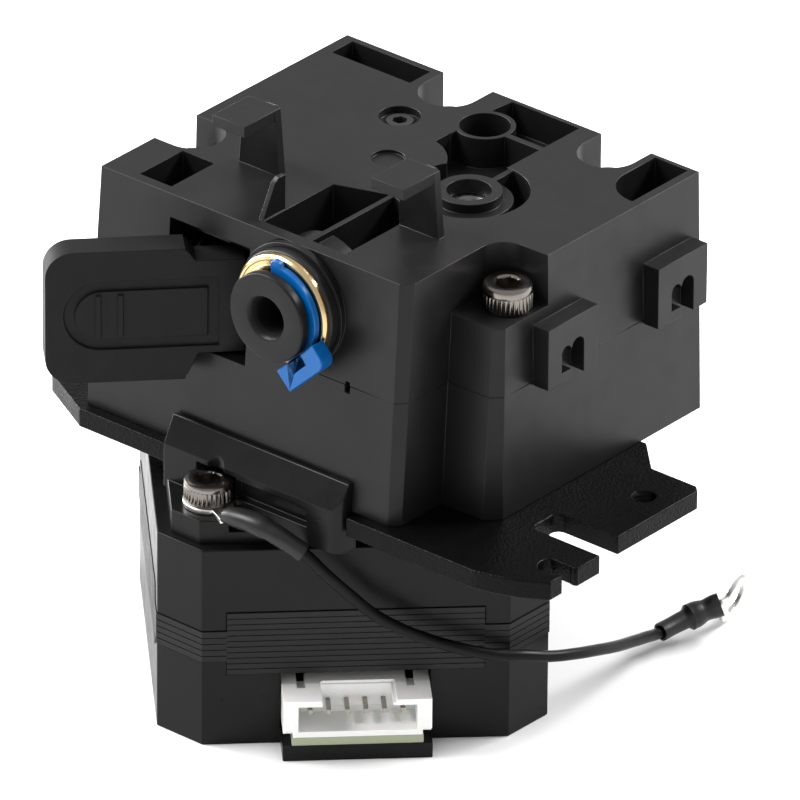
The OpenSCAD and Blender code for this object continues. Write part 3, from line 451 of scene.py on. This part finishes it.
def make_spring():
    """Round-wire compression spring."""
    steps = SPRING_TURNS * STEPS_PER_TURN
    builder = bmesh.new()
    rings = []
    for i in range(steps + 1):
        turn = 2 * math.pi * i / STEPS_PER_TURN
        out = Vector((0, math.cos(turn), math.sin(turn)))
        point = SPRING_START.lerp(SPRING_END, i / steps) + out * SPRING_R
        ring = []
        for k in range(SPRING_SIDES):
            angle = 2 * math.pi * k / SPRING_SIDES
            offset = out * math.cos(angle) + Vector((math.sin(angle), 0, 0))
            ring.append(builder.verts.new(point + offset * SPRING_WIRE_R))
        rings.append(ring)
    for low, high in zip(rings, rings[1:]):
        for k in range(SPRING_SIDES):
            n = (k + 1) % SPRING_SIDES
            builder.faces.new((low[k], low[n], high[n], high[k]))
    builder.faces.new(rings[0][::-1])
    builder.faces.new(rings[-1])
    coil = new_piece("coiled_spring", mesh_from(builder, "coiled_spring"), ["idler_spring"])
    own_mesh(coil)


make_spring()

# ---------- turned parts and screws ----------

def lathe(builder, profile, place, columns=96, shape=None, closed=True):
    """Turns a profile of (radius, height) about the place's Z; shape may vary the radius by angle."""
    rings = []
    for r, z in profile:
        count = columns if r else 1
        ring = []
        for k in range(count):
            angle = 2 * math.pi * k / columns
            out = shape(r, z, angle) if shape and r else r
            point = Vector((out * math.cos(angle), out * math.sin(angle), z)) * MM
            ring.append(builder.verts.new(place @ point))
        rings.append(ring)
    for low, high in zip(rings, rings[1:] + (rings[:1] if closed else [])):
        for k in range(columns):
            n = (k + 1) % columns
            corners = [low[k % len(low)], low[n % len(low)], high[n % len(high)], high[k % len(high)]]
            builder.faces.new(list(dict.fromkeys(corners)))


def soften(points):
    """A closed profile from (radius, height, rounding) corners."""
    outline = []
    for i, (r, z, rounding) in enumerate(points):
        here = Vector((r, z))
        before = Vector(points[i - 1][:2])
        after = Vector(points[(i + 1) % len(points)][:2])
        if not rounding:
            outline.append((r, z))
            continue
        a = here + (before - here).normalized() * rounding
        b = here + (after - here).normalized() * rounding
        for k in range(5):
            t = k / 4
            p = a * (1 - t) ** 2 + here * 2 * t * (1 - t) + b * t ** 2
            outline.append((p.x, p.y))
    return outline


KNURL_TEETH = 36
HEX_ACROSS = 2.5
SHANK_R = 1.5
HEAD_R = 2.75


def cap_screw(builder, place, length, head, knurl_from, knurl_to):
    """Socket cap screw with a knurled band, a rounded rim and a hexagon socket; seat at height 0."""
    def shape(r, z, angle):
        if r < 1.4 and 0 < z < head:
            sixth = math.pi / 3
            return HEX_ACROSS / 2 / math.cos((angle % sixth) - sixth / 2)
        if r > HEAD_R - 0.02 and knurl_from <= z <= knurl_to:
            return r - 0.11 * (0.5 + 0.5 * math.cos(angle * KNURL_TEETH))
        return r

    profile = [(0, -length), (SHANK_R - 0.2, -length), (SHANK_R, -length + 0.2), (SHANK_R, 0), (2.5, 0),
               (2.62, 0.08), (2.64, knurl_from - 0.06), (HEAD_R, knurl_from), (HEAD_R, knurl_to),
               (2.68, knurl_to + 0.06), (2.7, knurl_to + 0.12), (2.71, head - 0.3), (2.62, head - 0.12),
               (2.42, head - 0.01), (2.3, head), (1.75, head), (1.6, head - 0.03), (1.45, head - 0.1),
               (1.35, head - 0.2), (1.35, head - 1.5), (1.0, head - 1.55), (0, head - 1.75)]
    lathe(builder, profile, place, 144, shape, closed=False)


def center(node):
    low, high = (Vector(corner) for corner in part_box(node))
    return (low + high) / 2


SCREW_PLACES = [(-17.3, -4.8), (-2.75, 20.7), (19.4, 20.9), (26.5, -4.6)]
SCREW_SEAT = 52.86


def make_screws():
    builder = bmesh.new()
    for x, y in SCREW_PLACES:
        cap_screw(builder, Matrix.Translation(Vector((x, y, SCREW_SEAT)) * MM), 24.5, 3.0, 0.3, 1.95)
    new_piece("knurled_housing_screws", mesh_from(builder, "knurled_housing_screws"), ["housing_screws"])
    seat = center("ground_screw")
    seat.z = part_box("ground_screw")[1][2] - 2.5 * MM
    builder = bmesh.new()
    cap_screw(builder, Matrix.Translation(seat), 6, 2.5, 0.45, 1.75)
    new_piece("knurled_ground_screw", mesh_from(builder, "knurled_ground_screw"), ["ground_screw"])


def turned(name, node, corners):
    """A ring turned about the filament path; heights run from the path's origin towards the front."""
    middle = center("collet")
    place = Matrix.Translation((middle.x, 0, middle.z)) @ Matrix.Rotation(math.pi / 2, 4, "X")
    builder = bmesh.new()
    lathe(builder, soften(corners), place, 128)
    new_piece(name, mesh_from(builder, name), [node])


make_screws()
turned("turned_collet", "collet",
       [(2.05, 15.25, 0), (3.2, 15.25, 0.1), (3.2, 20.25, 0), (3.5, 20.25, 0.05), (3.5, 21.1, 0),
        (5.1, 21.1, 0.2), (5.1, 22.3, 0.28), (2.55, 22.3, 0.18), (2.3, 21.9, 0.1), (2.05, 21.3, 0.05)])
turned("turned_insert", "coupler_body",
       [(1.4, 12.95, 0), (5, 12.95, 0.1), (5, 19.1, 0), (6.3, 19.1, 0), (6.3, 19.62, 0.12),
        (6.02, 19.9, 0.06), (5.75, 19.9, 0.03), (5.68, 19.82, 0.03), (5.2, 19.82, 0.03),
        (5.12, 19.9, 0.03), (3.3, 19.9, 0.1), (3.3, 13.6, 0), (2.05, 13.6, 0), (2.05, 13.2, 0), (1.4, 13.2, 0)])
turned("turned_ring", "coupler_ring",
       [(5.05, 18.02, 0), (6.5, 18.02, 0), (6.5, 19.1, 0.3), (5.05, 19.1, 0.1)])

# ---------- laminated stack ----------

HALF_W = 21.15
CORNER_CUT = 4.6
TAB_EDGE = 13.9
SHEET = 0.682
MOTOR_TURN = math.radians(44)


def sheet_strip(builder, outline, z0, z1):
    """Sheet edges along an open outline on the motor's side, with a fine groove between sheets."""
    count = round((z1 - z0) / SHEET)
    pitch = (z1 - z0) / count
    groove, proud, back = 0.015, 0.1, -0.4
    comb = [(back, z0 + 0.03)]
    for k in range(count):
        low = z0 + k * pitch + (0.03 if k == 0 else 0.07)
        high = z0 + (k + 1) * pitch - (0.03 if k == count - 1 else 0.07)
        comb += [(proud, low), (proud, high)]
        if k < count - 1:
            comb += [(groove, high + 0.02), (groove, high + 0.12)]
    comb.append((back, z1 - 0.03))
    turn = Matrix.Rotation(MOTOR_TURN, 4, "Z")
    columns = []
    last = len(outline) - 1
    for i, point in enumerate(outline):
        here = Vector(point)
        sides = []
        for a, b in ((i - 1, i), (i, i + 1)):
            if 0 <= a and b <= last:
                step = (Vector(outline[b]) - Vector(outline[a])).normalized()
                sides.append(Vector((step.y, -step.x)))
        out = sum(sides, Vector((0, 0)))
        out /= out.dot(sides[0])
        columns.append([builder.verts.new(turn @ (Vector((*(here + out * o), z)) * MM)) for o, z in comb])
    for a, b in zip(columns, columns[1:]):
        for k in range(len(comb)):
            n = (k + 1) % len(comb)
            builder.faces.new((a[k], a[n], b[n], b[k]))
    builder.faces.new(columns[0])
    builder.faces.new(columns[-1][::-1])


def make_stack():
    low, high = (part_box("motor_stator")[k][2] / MM for k in (0, 1))
    tab_low, tab_high = low + 1.6, high - 2.2
    cut = HALF_W - CORNER_CUT
    builder = bmesh.new()
    for quarter in range(4):
        turn = Matrix.Rotation(quarter * math.pi / 2, 2)
        side = [(-TAB_EDGE, -HALF_W), (TAB_EDGE, -HALF_W)]
        corner = [(TAB_EDGE, -HALF_W), (cut, -HALF_W), (HALF_W, -cut), (HALF_W, -TAB_EDGE)]
        sheet_strip(builder, [tuple(turn @ Vector(p)) for p in side], low, high)
        sheet_strip(builder, [tuple(turn @ Vector(p)) for p in corner], tab_low, tab_high)
    new_piece("stack_sheets", mesh_from(builder, "stack_sheets"), [], slot="stack_black", body="housing")


make_stack()


def make_thread():
    """Thread turns in the plate's tapped hole."""
    low, high = (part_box("mounting_plate")[k][2] / MM for k in (0, 1))
    turns = 4
    pitch = (high - low - 0.3) / turns
    profile = [(1.4, low + 0.15)]
    for k in range(turns):
        profile += [(1.24, low + 0.15 + k * pitch), (1.08, low + 0.15 + (k + 0.5) * pitch)]
    profile += [(1.24, high - 0.15), (1.4, high - 0.15)]
    builder = bmesh.new()
    lathe(builder, profile, Matrix.Translation(Vector((38.3, 4.4, 0)) * MM), 64)
    new_piece("tapped_thread", mesh_from(builder, "tapped_thread"), [], slot="plate_black", body="housing")


make_thread()
make_camera()
make_studio()
